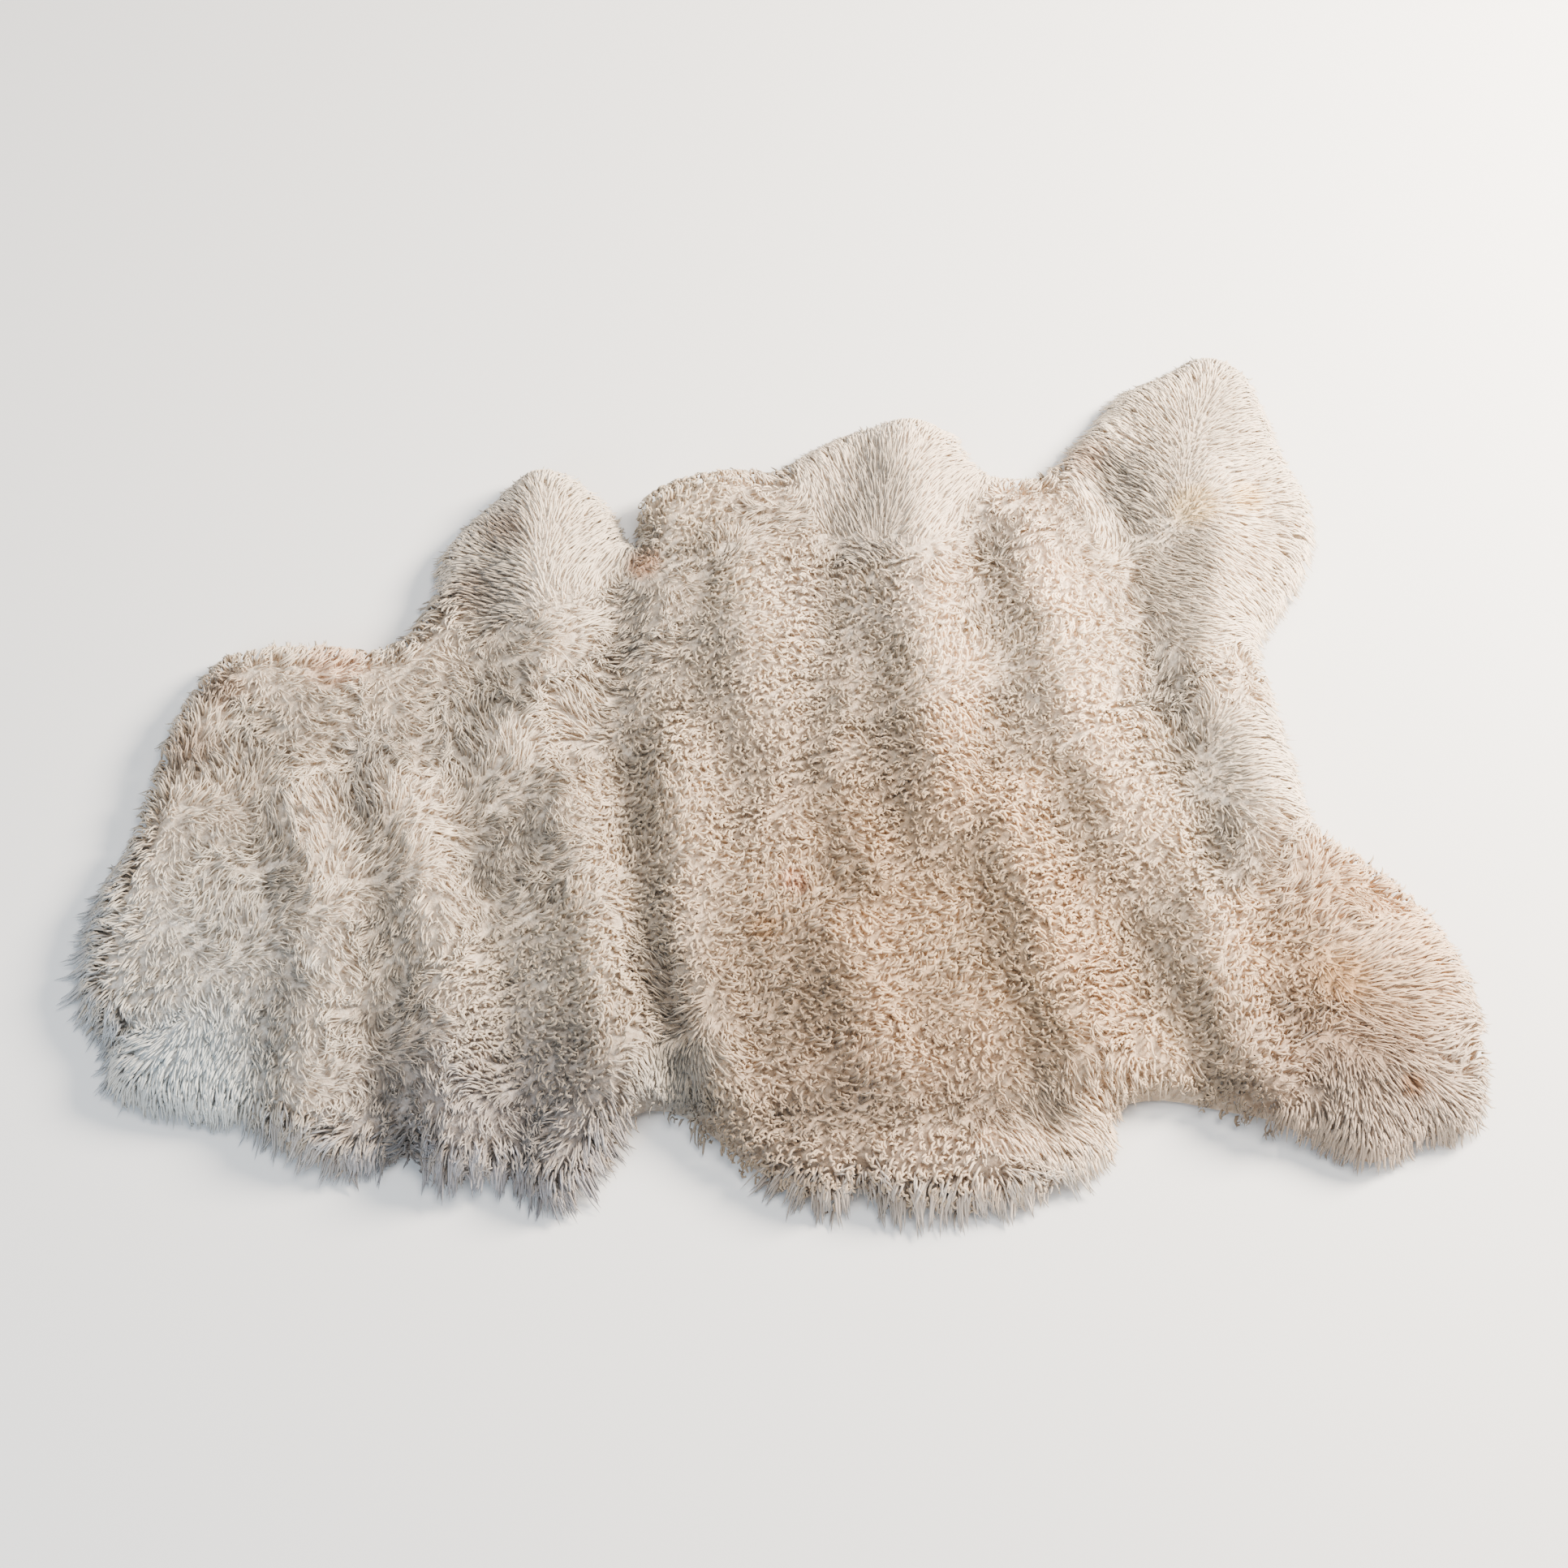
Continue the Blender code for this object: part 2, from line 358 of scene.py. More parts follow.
low_corner, high_corner = (np.array(corner) for corner in cad_box)
columns = np.arange(low_corner[0] - MAP_MARGIN, high_corner[0] + MAP_MARGIN, MAP_STEP)
rows = np.arange(low_corner[1] - MAP_MARGIN, high_corner[1] + MAP_MARGIN, MAP_STEP)
map_plan = np.array([(x, y) for y in rows for x in columns])
map_faces = [
    (i, i + 1, i + 1 + len(columns), i + len(columns))
    for row in range(len(rows) - 1)
    for i in range(row * len(columns), (row + 1) * len(columns) - 1)
]
rim_distance, rim_way, rim_z = to_rim(map_plan)
within = inside_loop(map_plan, rim[:, :2])
inset = np.where(within, rim_distance, -rim_distance)
outward = np.where(within[:, None], rim_way, -rim_way)
past_rim = np.maximum(PAST_RIM_LEAST, rim_z - PAST_RIM_FALL * rim_distance)
wool_top = heights(map_plan, FAR, -1.0)
wool_top = np.where(np.isnan(wool_top), past_rim, wool_top)
skin_top = heights(map_plan, -FAR, 1.0)
skin_top = np.where(np.isnan(skin_top), 0.0, skin_top) + SKIN_THICKNESS


def softened(values, times):
    """Values on the map, each blended with its neighbours this many times."""
    grid = values.reshape(len(rows), len(columns))
    for _ in range(times):
        beside = np.roll(grid, 1, axis=1) + np.roll(grid, -1, axis=1)
        grid = (grid + beside + np.roll(grid, 1, axis=0) + np.roll(grid, -1, axis=0)) / 5
    return grid.ravel()


outward = np.column_stack([softened(outward[:, axis], OUTWARD_BLUR) for axis in range(2)])
swirl = np.array([noise.noise(Vector((x, y, 7.0)) / SWIRL_SIZE) for x, y in map_plan])
swirl += 0.5 * np.array([noise.noise(Vector((x, y, 5.0)) / SWIRL_SIZE * 2.3) for x, y in map_plan])
swirl_angle = SWIRL_START + SWIRL_TURN * swirl
swirl_way = np.stack([np.cos(swirl_angle), np.sin(swirl_angle)], axis=1)
combed = soft_discs(map_plan, COMBED)
curly = soft_discs(map_plan, CURLY) * (1 - combed)
edge_share = np.clip(1 - inset / EDGE_BAND, 0, 1)
outward_share = np.clip(np.maximum(edge_share, COMBED_SHARE * combed), 0, 1)[:, None]
lay = outward * outward_share + swirl_way * (1 - outward_share)
lay /= np.maximum(np.linalg.norm(lay, axis=1), 0.6)[:, None]
lay *= np.clip((inset + 0.003) / RIM_BAND, 0.15, 1)[:, None]
painted_crease_shade = np.zeros(len(map_plan))
for x0, y0, x1, y1, half_width, depth in CREASES:
    start, run = np.array([x0, y0]), np.array([x1 - x0, y1 - y0])
    share = np.clip((map_plan - start) @ run / (run @ run), 0, 1)
    aside = map_plan - start - share[:, None] * run
    gap = np.linalg.norm(aside, axis=1)
    near = np.clip(1.5 - gap / half_width, 0, 1) * depth
    turned = CREASE_LEAN * near[:, None]
    lay = lay * (1 - turned) + aside / np.maximum(gap, 1e-4)[:, None] * turned
    painted_crease_shade = np.maximum(painted_crease_shade, near)
inner = inset > ROOTED_FROM
# Painted shading of the wool's colour, from -1 at its lightest to 1 at its darkest: shade in valleys,
# in creases and on slopes that face away from the key light, light on ridges and on slopes that face
# it.
valley = np.clip((softened(wool_top, VALLEY_BLUR) - wool_top) / VALLEY_DEPTH, -1, 1)
slope_rows = softened(wool_top, SLOPE_BLUR).reshape(len(rows), len(columns))
slope = np.gradient(slope_rows, MAP_STEP, axis=1)
painted_shading = np.clip(valley + np.clip(PAINTED_SLOPE_SHADE * slope.ravel(), -0.7, 0.9) + painted_crease_shade, -1, 1)

# ---- The undercoat -------------------------------------------------------------------------------
# The dense lower wool that the locks stand in. It fills the fleece from the skin to four fifths of its
# height, lumpy with the curls that it is made of, and shows darker between the locks: its colour is the
# wool's own deeper tone, with painted shade.

UNDERCOAT_STEP = 0.0055
UNDERCOAT_SHARE = 0.78  # of the wool's height
UNDERCOAT_COMBED = 0.10  # more than that under the combed wool
UNDERCOAT_SET_BACK = 0.007
UNDERCOAT_ROLL = 0.022  # over which it rises from its edge
UNDERCOAT_LEAST = 0.0015  # thickness at its edge
UNDERCOAT_LUMP = 0.0024
LUMP_SIZE = 0.006
CRIMP_SCALE = 260.0  # curls per metre, in its bump and colour
# Both undercoat colours, on the whole darker than the locks' tips: the wool's own deeper tone, and
# painted shade for the gaps between the locks.
WOOL_DEEP = (0.52, 0.42, 0.325)
WOOL_SHADE = (0.74, 0.635, 0.52)

coat_plan, coat_faces = plan_mesh(UNDERCOAT_SET_BACK, UNDERCOAT_STEP)
coat_low = heights(coat_plan, -FAR, 1.0) + SKIN_THICKNESS * 0.9  # rooted a little into the skin
coat_rise = heights(coat_plan, FAR, -1.0) - coat_low
coat_share = np.clip((to_rim(coat_plan)[0] - UNDERCOAT_SET_BACK) / UNDERCOAT_ROLL, 0, 1) ** 0.5
coat_lumps = np.array([noise.noise(Vector((x, y, 0.0)) / LUMP_SIZE) for x, y in coat_plan])
coat_filled = UNDERCOAT_SHARE + UNDERCOAT_COMBED * soft_discs(coat_plan, COMBED)
coat_high = coat_low + UNDERCOAT_LEAST + coat_share * (
    coat_filled * coat_rise - UNDERCOAT_LEAST + UNDERCOAT_LUMP * coat_lumps
)
undercoat = closed_layer("undercoat", coat_plan, coat_faces, coat_low, coat_high)

# The fleece's own tints and stains, and patches of painted light and painted shade.
TINTS_AND_PAINTED_LIGHT = (  # centre x, y, radius, width of its faded edge, and what the wool's colour is multiplied by
    (0.140, -0.150, 0.150, 0.20, (1.00, 0.88, 0.74)),  # yellowed middle
    (0.270, -0.270, 0.110, 0.18, (1.00, 0.93, 0.84)),
    (0.330, 0.110, 0.200, 0.16, (1.14, 1.13, 1.11)),  # painted light on the shoulder and neck
    (0.220, 0.070, 0.100, 0.10, (1.18, 1.18, 1.19)),
    (0.110, 0.200, 0.140, 0.14, (1.08, 1.06, 1.05)),
    # darker in the middle, and warmer by the near foreleg
    (0.000, -0.080, 0.150, 0.16, (0.90, 0.86, 0.82)),
    (0.450, -0.180, 0.090, 0.10, (0.98, 0.82, 0.66)),
    (0.430, -0.330, 0.110, 0.12, (0.58, 0.52, 0.49)),  # painted shade along the near edge
    (-0.220, -0.370, 0.130, 0.14, (0.52, 0.54, 0.62)),
    (-0.020, -0.280, 0.110, 0.14, (0.66, 0.62, 0.58)),
    (0.080, -0.360, 0.120, 0.12, (0.94, 0.88, 0.84)),
    (-0.470, -0.010, 0.022, 0.030, (0.60, 0.54, 0.50)),  # painted shade under the rolled far edges
    (-0.450, 0.045, 0.018, 0.026, (0.64, 0.57, 0.53)),
    (-0.255, 0.135, 0.020, 0.030, (0.60, 0.54, 0.50)),
    (-0.230, 0.195, 0.018, 0.026, (0.64, 0.57, 0.53)),
    (0.262, 0.268, 0.018, 0.028, (0.68, 0.60, 0.55)),
    (-0.470, -0.220, 0.110, 0.14, (0.93, 1.02, 1.14)),  # painted cool light on the rump
    (-0.440, -0.290, 0.060, 0.07, (0.80, 0.92, 1.05)),
    (-0.080, -0.290, 0.030, 0.04, (0.92, 1.00, 1.08)),
    (0.435, -0.203, 0.022, 0.026, (0.96, 0.85, 0.68)),  # stain
    (0.476, -0.293, 0.009, 0.010, (0.66, 0.50, 0.36)),
    (-0.010, -0.165, 0.012, 0.014, (0.92, 0.80, 0.64)),
    (0.022, -0.130, 0.006, 0.005, (0.58, 0.50, 0.46)),
    (0.012, -0.124, 0.010, 0.008, (1.10, 0.94, 0.92)),
    (0.233, -0.125, 0.008, 0.006, (0.72, 0.63, 0.55)),
    (0.349, 0.216, 0.020, 0.018, (1.02, 0.93, 0.70)),
    (0.394, 0.224, 0.014, 0.012, (1.02, 0.93, 0.72)),
    (-0.355, -0.197, 0.007, 0.005, (1.35, 1.42, 1.50)),
    (-0.331, -0.005, 0.022, 0.020, (1.12, 1.14, 1.18)),
    (0.014, 0.131, 0.028, 0.024, (1.12, 1.13, 1.16)),
    (-0.112, 0.166, 0.014, 0.012, (1.02, 0.78, 0.64)),
    (-0.360, 0.072, 0.024, 0.022, (1.02, 0.88, 0.80)),
)


def with_tints_and_painted_light(graph, place, colour):
    """The colour, with the fleece's yellowed places, stains and paler spots on it, and patches of
    painted light and painted shade.
    """
    for x, y, radius, fade, tint in TINTS_AND_PAINTED_LIGHT:
        past = graph.node(
            "ShaderNodeVectorMath",
            {"operation": "LENGTH"},
            {0: (place - (x, y, 0)) * (1, 1, 0)},
            "Value",
        )
        share = graph.ramp(past, radius - fade / 2, radius + fade / 2, 1.0, 0.0)
        colour = colour * graph.mix(share, (1.0, 1.0, 1.0), tint)
    return colour


def undercoat_wool():
    material, graph, shader = new_material("undercoat wool")
    place = graph.node("ShaderNodeTexCoord", output="Object")
    curls = graph.noise(place, CRIMP_SCALE, 3.0, 0.6)
    colour = graph.mix(graph.ramp(curls, 0.4, 0.65), WOOL_DEEP, WOOL_SHADE)
    bump = graph.node("ShaderNodeBump", {}, {"Strength": 0.9, "Distance": 0.002, "Height": curls})
    graph.feed(shader.inputs["Base Color"], with_tints_and_painted_light(graph, place, colour))
    shader.inputs["Roughness"].default_value = 0.95
    graph.feed(shader.inputs["Normal"], bump)
    return material


undercoat.data.materials.append(undercoat_wool())

# ---- Tight curls over the back -------------------------------------------------------------------
# Short locks of crimped wool, each ending in a small round curl. They pack close over the back and
# the belly, with the darker wool below showing between them.

def fleece_ground(name, share):
    """The wool's top surface as a mesh, with what a lock needs to know at each place on it, and the
    painted shading of the wool's colour there.
    """
    made = object_from(name, np.column_stack([map_plan, wool_top]), map_faces)
    facts = {"share": share * inner, "skin_top": skin_top, "painted_shading": painted_shading}
    for key, values in facts.items():
        made.data.attributes.new(key, "FLOAT", "POINT").data.foreach_set("value", values)
    flat_lay = np.column_stack([lay, np.zeros(len(lay))]).ravel()
    made.data.attributes.new("lay", "FLOAT_VECTOR", "POINT").data.foreach_set("vector", flat_lay)
    return made


def strand_form(name, rings):
    """A pointed three-sided strand of unit radius and length, with its own patch of the bake map."""
    shape = bmesh.new()
    loops = [
        [shape.verts.new((math.cos(a), math.sin(a), z)) for a in np.radians([90, 210, 330])]
        for z in rings
    ]
    tip = shape.verts.new((0, 0, 1))
    patch = shape.loops.layers.uv.new("OFBake")

    def face(verts, corners):
        for loop, corner in zip(shape.faces.new(verts).loops, corners):
            loop[patch].uv = corner

    face(loops[0][::-1], [(1, 0.12), (0.5, 0.0), (0, 0.12)])
    for side in range(3):
        u0, u1 = side / 3, (side + 1) / 3
        for k in range(len(rings) - 1):
            v0, v1 = 0.12 + 0.88 * rings[k], 0.12 + 0.88 * rings[k + 1]
            corners = [(u0, v0), (u1, v0), (u1, v1), (u0, v1)]
            a, b = loops[k], loops[k + 1]
            face([a[side], a[(side + 1) % 3], b[(side + 1) % 3], b[side]], corners)
        v0 = 0.12 + 0.88 * rings[-1]
        last = loops[-1]
        face([last[side], last[(side + 1) % 3], tip], [(u0, v0), (u1, v0), ((u0 + u1) / 2, 1.0)])
    mesh = bpy.data.meshes.new(name)
    shape.to_mesh(mesh)
    mesh.shade_smooth()
    made = bpy.data.objects.new(name, mesh)
    bpy.context.scene.collection.objects.link(made)
    return made


CROWDING = 2.2  # points tried for each one that the spacing leaves room for
LEAN_CURVE = 1.4  # a strand leans more towards its tip
WAY_STEP = 0.04  # along a strand, over which its direction is taken
LEAST_HEIGHT = 0.0006
PATCH_MARGIN = 0.08  # of a strand's square on the bake map
WOOL_INPUTS = {  # name: socket type and ordinary value
    "Strand": ("NodeSocketObject", None),
    "Material": ("NodeSocketMaterial", None),
    "Spacing": ("NodeSocketFloat", 0.004),
    "Seed": ("NodeSocketInt", 1),
    "Lock Size": ("NodeSocketFloat", 0.012),
    "Gather": ("NodeSocketFloat", 0.6),
    "Reach": ("NodeSocketFloat", 0.015),
    "Width": ("NodeSocketFloat", 0.0012),
    "Thickness": ("NodeSocketFloat", 0.0008),
    "Taper": ("NodeSocketFloat", 0.5),
    "Curl": ("NodeSocketFloat", 0.001),
    "Turns": ("NodeSocketFloat", 0.5),
    "Rise": ("NodeSocketFloat", 0.003),
    "Rooting": ("NodeSocketFloat", 0.5),
}


def wool_tree():
    """Grows strands on a fleece ground: gathered into locks, leant with the lay, curled at the tip."""
    tree = bpy.data.node_groups.new("wool growth", "GeometryNodeTree")
    tree.interface.new_socket("Ground", in_out="INPUT", socket_type="NodeSocketGeometry")
    tree.interface.new_socket("Wool", in_out="OUTPUT", socket_type="NodeSocketGeometry")
    for name, (kind, value) in WOOL_INPUTS.items():
        socket = tree.interface.new_socket(name, in_out="INPUT", socket_type=kind)
        if value is not None:
            socket.default_value = value
    graph = Graph(tree)
    given = graph.node("NodeGroupInput")

    def fact(name, kind="FLOAT"):
        return graph.node("GeometryNodeInputNamedAttribute", {"data_type": kind}, {0: name})

    def keep(geometry, name, value, kind="FLOAT", domain="POINT"):
        settings = {"data_type": kind, "domain": domain}
        inputs = {0: geometry, 2: name, 3: value}
        return graph.node("GeometryNodeStoreNamedAttribute", settings, inputs)

    def plain(x, y, z):
        return graph.node("ShaderNodeCombineXYZ", {}, {0: x, 1: y, 2: z})

    spacing = given.out("Spacing")
    roots = graph.node(
        "GeometryNodeDistributePointsOnFaces",
        {"distribute_method": "POISSON"},
        {
            "Mesh": given.out("Ground"),
            "Distance Min": spacing,
            "Density Max": CROWDING / (spacing * spacing),
            "Density Factor": fact("share"),
            "Seed": given.out("Seed"),
        },
    )
    place = graph.node("GeometryNodeInputPosition")
    locks = graph.node(
        "ShaderNodeTexVoronoi",
        {"voronoi_dimensions": "2D"},
        {"Vector": place, "Scale": 1.0 / given.out("Lock Size"), "Randomness": 0.9},
    )
    chance = graph.node(
        "FunctionNodeRandomValue", {"data_type": "FLOAT_VECTOR"}, {"Seed": given.out("Seed")}
    )
    roots = keep(roots, "place", place, "FLOAT_VECTOR")
    roots = keep(roots, "centre", locks.out("Position"), "FLOAT_VECTOR")
    roots = keep(roots, "lock", locks.out("Color"), "FLOAT_VECTOR")
    roots = keep(roots, "chance", chance, "FLOAT_VECTOR")
    roots = keep(roots, "number", graph.node("GeometryNodeInputIndex"), "INT")
    total = graph.node("GeometryNodeAttributeDomainSize", {"component": "POINTCLOUD"}, {0: roots})
    form = graph.node("GeometryNodeObjectInfo", {}, {0: given.out("Strand")}, "Geometry")
    form = keep(form, "form", graph.node("GeometryNodeInputPosition"), "FLOAT_VECTOR")
    wool = graph.node("GeometryNodeInstanceOnPoints", {}, {"Points": roots, "Instance": form})
    wool = graph.node("GeometryNodeRealizeInstances", {}, {0: wool})

    form, root, lean = (fact(n, "FLOAT_VECTOR") for n in ("form", "place", "lay"))
    chances = graph.node("ShaderNodeSeparateXYZ", {}, {0: fact("chance", "FLOAT_VECTOR")})
    lock = graph.node("ShaderNodeSeparateXYZ", {}, {0: fact("lock", "FLOAT_VECTOR")})
    middle = graph.node("ShaderNodeSeparateXYZ", {}, {0: fact("centre", "FLOAT_VECTOR")})
    root_parts = graph.node("ShaderNodeSeparateXYZ", {}, {0: root})
    centre = plain(middle.out(0), middle.out(1), root_parts.out(2))
    along = graph.node("ShaderNodeSeparateXYZ", {}, {0: form}).out(2)
    skin_z = fact("skin_top")
    root_z = skin_z + (root_parts.out(2) - skin_z) * given.out("Rooting")
    reach = given.out("Reach") * (0.65 + 0.7 * chances.out(0))
    whirl = (chances.out(1) + 0.35 * lock.out(2)) * 2 * math.pi
    turn = given.out("Turns") * 2 * math.pi * (0.75 + 0.5 * chances.out(2))
    lift = given.out("Rise") * (lock.out(0) + 0.35 * chances.out(1) - 0.6)

    def path(t):
        """A strand's centre line at t, from 0 at its root to 1 at its tip."""
        gather = given.out("Gather") * t
        flat = root + (centre - root) * gather + lean * (reach * t**LEAN_CURVE)
        angle = whirl + turn * t
        size = given.out("Curl") * t
        flat = flat + plain(angle.join("COSINE", angle) * size, angle.join("SINE", angle) * size, 0)
        down = graph.node(
            "GeometryNodeRaycast",
            {},
            {
                "Target Geometry": given.out("Ground"),
                "Source Position": flat * (1, 1, 0) + (0, 0, 1),
                "Ray Direction": (0, 0, -1),
                "Ray Length": 2.0,
            },
            "Hit Position",
        )
        flat_parts = graph.node("ShaderNodeSeparateXYZ", {}, {0: flat})
        top_z = graph.node("ShaderNodeSeparateXYZ", {}, {0: down}).out(2)
        grown = 1 - (1 - t) ** 2
        z = root_z + (top_z + lift - root_z) * grown
        z = graph.node("ShaderNodeMath", {"operation": "MAXIMUM"}, {0: z, 1: LEAST_HEIGHT})
        return plain(flat_parts.out(0), flat_parts.out(1), z)

    here = path(along)
    way = graph.vector_sum("NORMALIZE", path(along + WAY_STEP) - here)
    across = graph.vector_sum("NORMALIZE", graph.vector_sum("CROSS_PRODUCT", way, (0, 0, 1)))
    over = graph.vector_sum("CROSS_PRODUCT", across, way)
    form_parts = graph.node("ShaderNodeSeparateXYZ", {}, {0: form})
    full = (1 - given.out("Taper") * along) * (0.75 + 0.5 * chances.out(1))
    side = across * (form_parts.out(0) * full * given.out("Width"))
    top = over * (form_parts.out(1) * full * given.out("Thickness"))
    wool = graph.node("GeometryNodeSetPosition", {}, {"Geometry": wool, "Position": here + side + top})

    squares = total.join("CEIL", total.join("SQRT", total))  # strands in a row of the bake map
    number = fact("number", "INT")
    row = number.join("FLOOR", number / squares + 0.0001)
    square = plain(number - row * squares, row, 0)
    own = fact("OFBake", "FLOAT_VECTOR") * (1 - 2 * PATCH_MARGIN) + (PATCH_MARGIN, PATCH_MARGIN, 0)
    wool = keep(wool, "OFBake", (square + own) / squares, "FLOAT2", "CORNER")
    wool = keep(wool, "along", along)
    wool = keep(wool, "tone", lock.out(1) * 0.65 + chances.out(2) * 0.35)
    wool = keep(wool, "hair", chances.out(0))
    wool = keep(wool, "side", form_parts.out(0))
    wool = graph.node("GeometryNodeSetShadeSmooth", {}, {0: wool})
    wool = graph.node("GeometryNodeSetMaterial", {}, {0: wool, 2: given.out("Material")})
    graph.node("NodeGroupOutput", {}, {0: wool})
    return tree


wool_growth = wool_tree()
WORKING_FACTS = (  # needed only while the wool grows
    "place",
    "centre",
    "lock",
    "chance",
    "number",
    "form",
    "lay",
    "skin_top",
    "share",
)


def grow(name, share, strand, **sizes):
    """Locks as one closed-strand mesh, grown where share is above 0."""
    ground = fleece_ground(name, share)
    modifier = ground.modifiers.new("growth", "NODES")
    modifier.node_group = wool_growth
    for item in wool_growth.interface.items_tree:
        if item.in_out == "INPUT" and item.name in sizes:
            modifier[item.identifier] = sizes[item.name]
        if item.name == "Strand":
            modifier[item.identifier] = strand
    evaluated = ground.evaluated_get(bpy.context.evaluated_depsgraph_get())
    ground.data = bpy.data.meshes.new_from_object(evaluated)
    ground.modifiers.clear()
    ground.data.name = name
    for fact in WORKING_FACTS:
        if fact in ground.data.attributes:
            ground.data.attributes.remove(ground.data.attributes[fact])
    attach(ground, "root")
    return ground


def wool_fibre(name, root, tip, tone_range, streak_range):
    """Wool of one strand: dark at the root, pale at the tip, streaked along its length. The dark root
    is partly the wool's own tone and partly painted shade, and the map's painted shading and the
    patches' painted light and shade are laid on top.
    """
    material, graph, shader = new_material(name)
    place = graph.node("ShaderNodeTexCoord", output="Object")

    def fact(key):
        return graph.node("ShaderNodeAttribute", {"attribute_name": key}, output="Fac")

    along, tone, hair, side = (fact(key) for key in ("along", "tone", "hair", "side"))
    streak_place = graph.node(
        "ShaderNodeCombineXYZ", {}, {0: side * 2.2 + hair * 40, 1: along * 1.6, 2: tone * 30}
    )
    streak = graph.noise(streak_place, 1.6, 2.0)
    cloud = graph.noise(place, 16.0, 3.0)
    # root to tip: the wool's own tone, with painted shade darkening the root
    colour = graph.mix(graph.ramp(along, 0.1, 0.8), root, tip)
    shade = graph.ramp(tone, 0.1, 0.9, *tone_range) * graph.ramp(streak, 0.3, 0.7, *streak_range)
    shade = shade * graph.ramp(cloud, 0.3, 0.7, 0.92, 1.06)
    # painted shade in valleys, in creases and on slopes facing away from the key light; painted light
    # on ridges and on slopes facing it
    shade = shade * graph.ramp(fact("painted_shading"), -1.0, 1.0, 1.12, 0.47)
    colour = with_tints_and_painted_light(graph, place, colour * shade)
    graph.feed(shader.inputs["Base Color"], colour)
    graph.feed(shader.inputs["Roughness"], graph.ramp(streak, 0.2, 0.8, 0.6, 0.8))
    shader.inputs["Specular IOR Level"].default_value = 0.25
    shader.inputs["Sheen Weight"].default_value = 0.25
    shader.inputs["Sheen Roughness"].default_value = 0.5
    return material


CURLS_PARTED = 0.06  # the x that parts the curls of the rear from those of the front
CURL_TIP = (0.78, 0.635, 0.465)
# darker root: the wool's own tone and painted shade
CURL_ROOT = (0.57, 0.43, 0.285)

curl_strand = strand_form("curl strand", (0.0, 0.3, 0.52, 0.74, 0.92))
curl_wool = wool_fibre("curled wool", CURL_ROOT, CURL_TIP, (0.84, 1.06), (0.90, 1.04))
curl_sizes = {
    "Material": curl_wool,
    "Lock Size": 0.0095,
    "Gather": 0.5,
    "Reach": 0.0065,
    "Width": 0.0016,
    "Thickness": 0.0007,
    "Taper": 0.30,
    "Curl": 0.0025,
    "Turns": 1.0,
    "Rise": 0.0036,
    "Rooting": 0.66,
    "Spacing": 0.0032,
}


def rearward_of(x):
    """1 where the map lies towards the rump from x, and 0 in front of it."""
    return np.clip(0.5 - (map_plan[:, 0] - x) / 0.002, 0, 1)


rear = rearward_of(CURLS_PARTED)
rear_curls = grow("rear_curls", curly * rear, curl_strand, Seed=11, **curl_sizes)
fore_curls = grow("fore_curls", curly * (1 - rear), curl_strand, Seed=12, **curl_sizes)

# ---- Loose tufts on the rump and flanks ----------------------------------------------------------
# Longer, looser locks that part and lie over one another in swirls, each drawn to a point.

TUFTS_PARTED = -0.22  # the x that parts the rump's tufts from those of the flanks
TUFT_TIP = (0.79, 0.665, 0.52)
# darker root: the wool's own tone and painted shade
TUFT_ROOT = (0.53, 0.40, 0.275)

tuft_strand = strand_form("tuft strand", (0.0, 0.4, 0.75))
tuft_wool = wool_fibre("tufted wool", TUFT_ROOT, TUFT_TIP, (0.84, 1.07), (0.88, 1.05))
tuft_sizes = {
    "Material": tuft_wool,
    "Lock Size": 0.0125,
    "Gather": 0.72,
    "Reach": 0.015,
    "Width": 0.0012,
    "Thickness": 0.0007,
    "Taper": 0.45,
    "Curl": 0.0028,
    "Turns": 0.55,
    "Rise": 0.0048,
    "Rooting": 0.64,
    "Spacing": 0.0026,
}
tufty = np.clip(1 - curly - combed, 0, 1)
rear = rearward_of(TUFTS_PARTED)
rump_tufts = grow("rump_tufts", tufty * rear, tuft_strand, Seed=21, **tuft_sizes)
flank_tufts = grow("flank_tufts", tufty * (1 - rear), tuft_strand, Seed=22, **tuft_sizes)

# ---- Combed wool on the legs and neck ------------------------------------------------------------
# Shorter, finer wool that lies smooth and points outwards, over the legs, the neck and the cut edge.

COMBED_TIP = (0.85, 0.715, 0.56)
# slightly darker root: the wool's own tone and painted shade
COMBED_ROOT = (0.80, 0.67, 0.52)

combed_wool = wool_fibre("combed wool", COMBED_ROOT, COMBED_TIP, (0.94, 1.04), (0.94, 1.04))
combed_sizes = {
    "Material": combed_wool,
    "Lock Size": 0.012,
    "Gather": 0.30,
    "Reach": 0.017,
    "Width": 0.0013,
    "Thickness": 0.0003,
    "Taper": 0.40,
    "Curl": 0.0018,
    "Turns": 0.4,
    "Rise": 0.0016,
    "Rooting": 0.80,
    "Spacing": 0.0024,
}
combed_locks = grow("combed_locks", combed, tuft_strand, Seed=31, **combed_sizes)

# ---- Long locks on the near edge and the rump ----------------------------------------------------
# Longer wool that hangs over the cut edge: straight and parallel on the belly, and in wavy pointed
# locks with gaps between them round the rump.

FRINGES = (  # centre x, y and radius
    (-0.505, -0.190, 0.085),
    (-0.300, -0.330, 0.090),
    (-0.190, -0.370, 0.090),
    (0.060, -0.390, 0.075),
    (0.170, -0.375, 0.060),
)
FRINGE_BAND = 0.026  # from the rim
EDGE_TIP = (0.74, 0.685, 0.62)
# darker root: the wool's own tone and painted shade
EDGE_ROOT = (0.38, 0.30, 0.235)

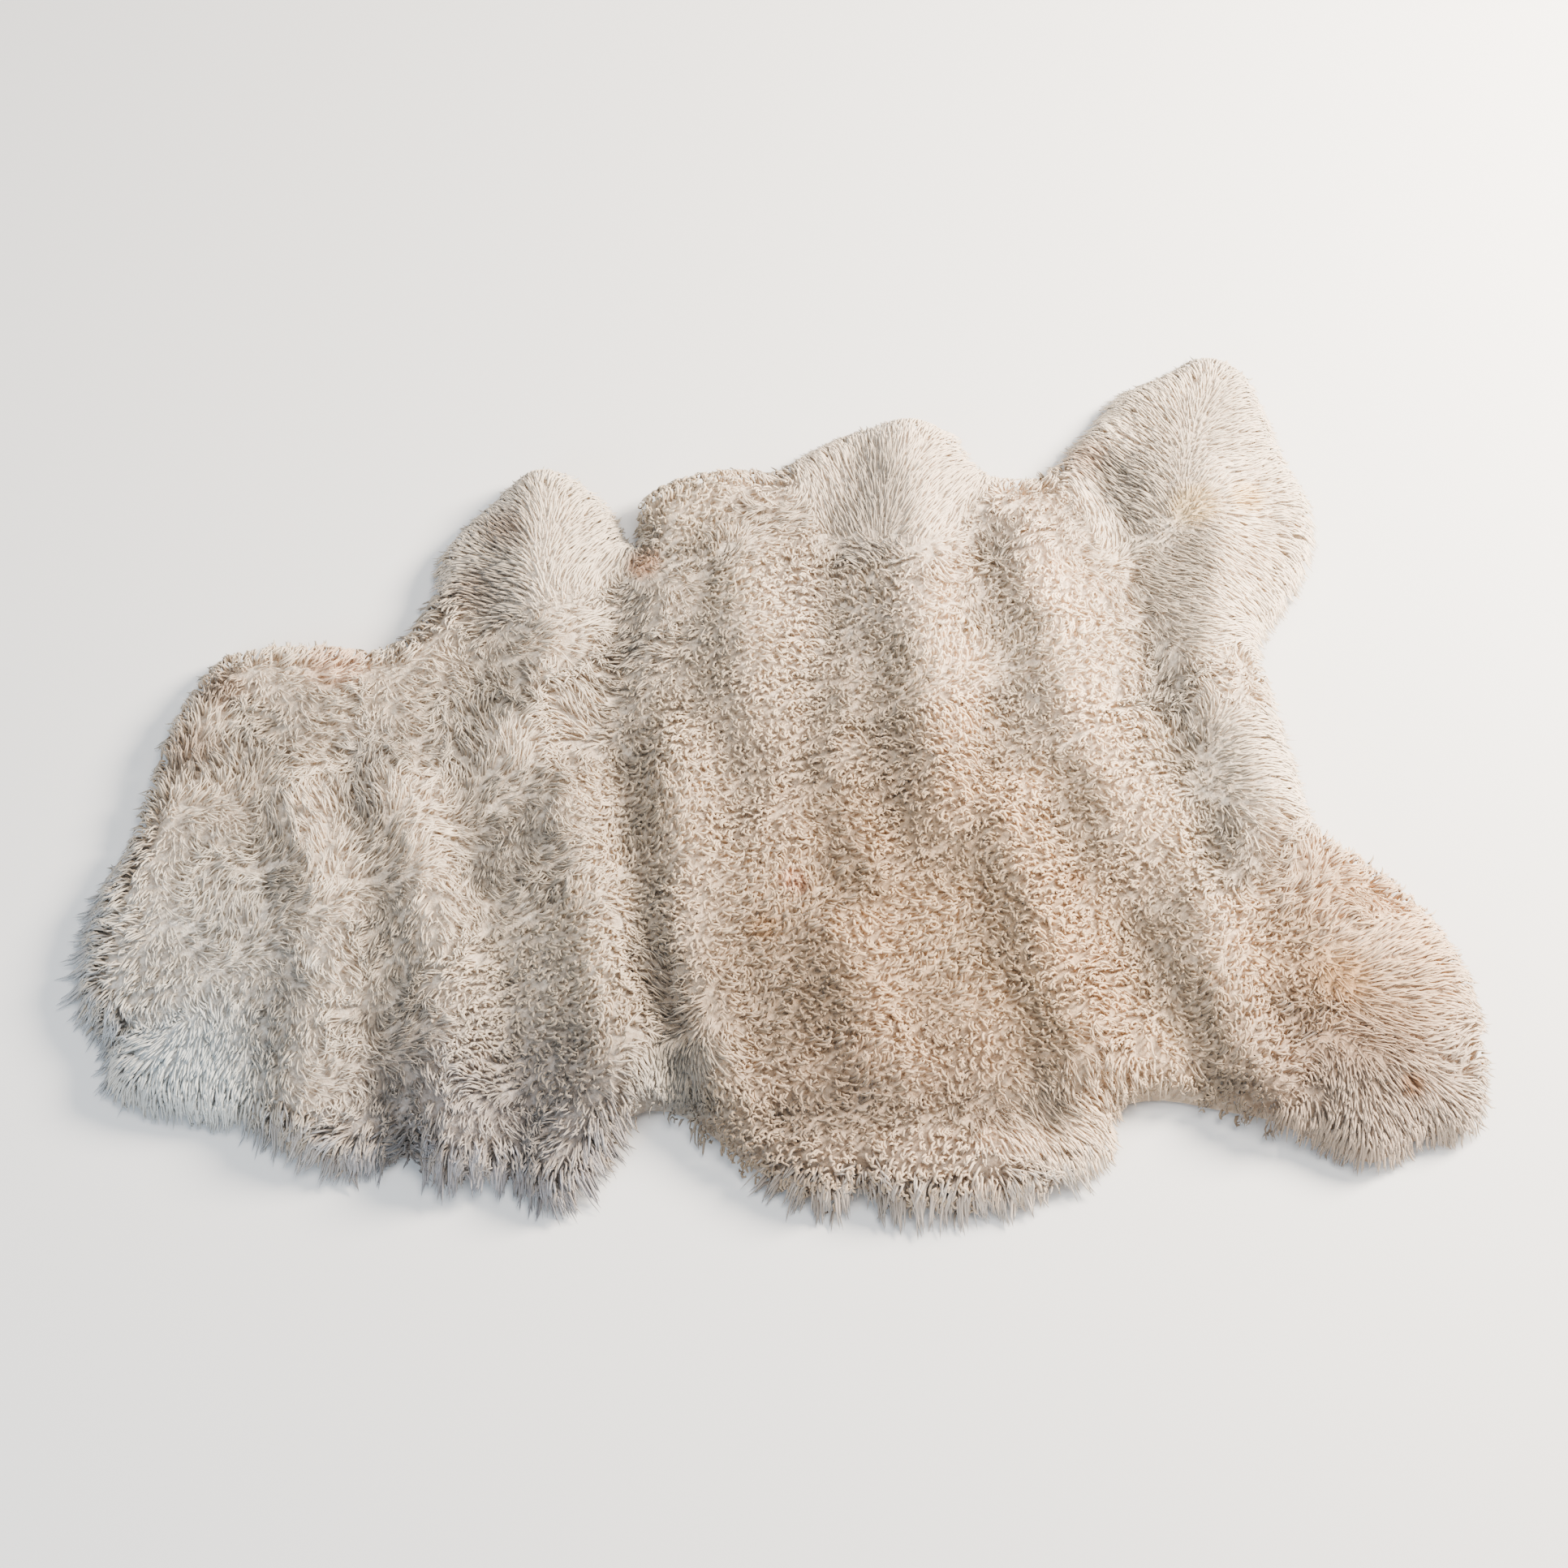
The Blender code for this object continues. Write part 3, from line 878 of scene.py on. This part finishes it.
edge_wool = wool_fibre("edge wool", EDGE_ROOT, EDGE_TIP, (0.80, 1.06), (0.86, 1.06))
edge_band = np.clip((FRINGE_BAND - inset) / 0.006, 0, 1) * soft_discs(map_plan, FRINGES)
edge_sizes = {
    "Material": edge_wool,
    "Lock Size": 0.0135,
    "Gather": 0.82,
    "Reach": 0.024,
    "Width": 0.0014,
    "Thickness": 0.0009,
    "Taper": 0.5,
    "Curl": 0.0022,
    "Turns": 0.4,
    "Rise": 0.003,
    "Rooting": 0.7,
    "Spacing": 0.0024,
}
edge_locks = grow("edge_locks", edge_band, tuft_strand, Seed=41, **edge_sizes)

for template in (curl_strand, tuft_strand):
    bpy.data.objects.remove(template)
for layer in (skin, undercoat):
    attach(layer, "root")
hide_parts("sheepskin")

# ---- Floor, lights and camera --------------------------------------------------------------------
# A plain pale floor under soft studio light, warm from the neck's side and cool from near the rump.

FLOOR_HALF = 6.0
FLOOR_LEVEL = -0.0006  # just under the skin
FLOOR_COLOUR = (0.88, 0.88, 0.88)
ROOM_COLOUR = (0.86, 0.92, 1.0, 1.0)
ROOM_STRENGTH = 0.48
LIGHTS = (  # name, place, aim, size, power and colour
    ("key", (1.75, 0.75, 1.2), (0.05, 0, 0), 0.8, 262, (1.0, 0.885, 0.745)),
    ("overhead", (0.5, 0.1, 2.6), (0.1, 0, 0), 1.6, 55, (1.0, 0.965, 0.91)),
    ("fill", (-1.7, -1.6, 1.2), (0, 0, 0), 1.2, 30, (0.70, 0.85, 1.0)),
)
CAMERA_AIM = (0.0048, -0.0261, 0.0)
CAMERA_DISTANCE = 2.0
CAMERA_ELEVATION = 64.0
CAMERA_LENS = 56.8

floor_corners = [(-FLOOR_HALF, -FLOOR_HALF), (FLOOR_HALF, -FLOOR_HALF)]
floor_corners += [(FLOOR_HALF, FLOOR_HALF), (-FLOOR_HALF, FLOOR_HALF)]
floor = object_from("floor", [(x, y, FLOOR_LEVEL) for x, y in floor_corners], [(0, 1, 2, 3)])
floor_paint, floor_graph, floor_shader = new_material("floor paint")
floor_shader.inputs["Base Color"].default_value = (*FLOOR_COLOUR, 1.0)
floor_shader.inputs["Roughness"].default_value = 0.9
floor.data.materials.append(floor_paint)

world = bpy.data.worlds.new("studio")
world.use_nodes = True
background = world.node_tree.nodes["Background"]
background.inputs["Color"].default_value = ROOM_COLOUR
background.inputs["Strength"].default_value = ROOM_STRENGTH
bpy.context.scene.world = world


def soft_light(name, place, aim, size, power, colour):
    data = bpy.data.lights.new(name, "AREA")
    data.shape, data.size, data.energy, data.color = "DISK", size, power, colour
    light = bpy.data.objects.new(name, data)
    light.location = place
    light.rotation_euler = (Vector(aim) - Vector(place)).to_track_quat("-Z", "Y").to_euler()
    bpy.context.scene.collection.objects.link(light)


for light_facts in LIGHTS:
    soft_light(*light_facts)

camera_data = bpy.data.cameras.new("camera")
camera_data.sensor_width, camera_data.lens = 36.0, CAMERA_LENS
camera = bpy.data.objects.new("camera", camera_data)
elevation = math.radians(CAMERA_ELEVATION)
camera.location = (
    Vector(CAMERA_AIM) + Vector((0, -math.cos(elevation), math.sin(elevation))) * CAMERA_DISTANCE
)
camera.rotation_euler = (Vector(CAMERA_AIM) - camera.location).to_track_quat("-Z", "Y").to_euler()
bpy.context.scene.collection.objects.link(camera)
bpy.context.scene.camera = camera

solid.free()
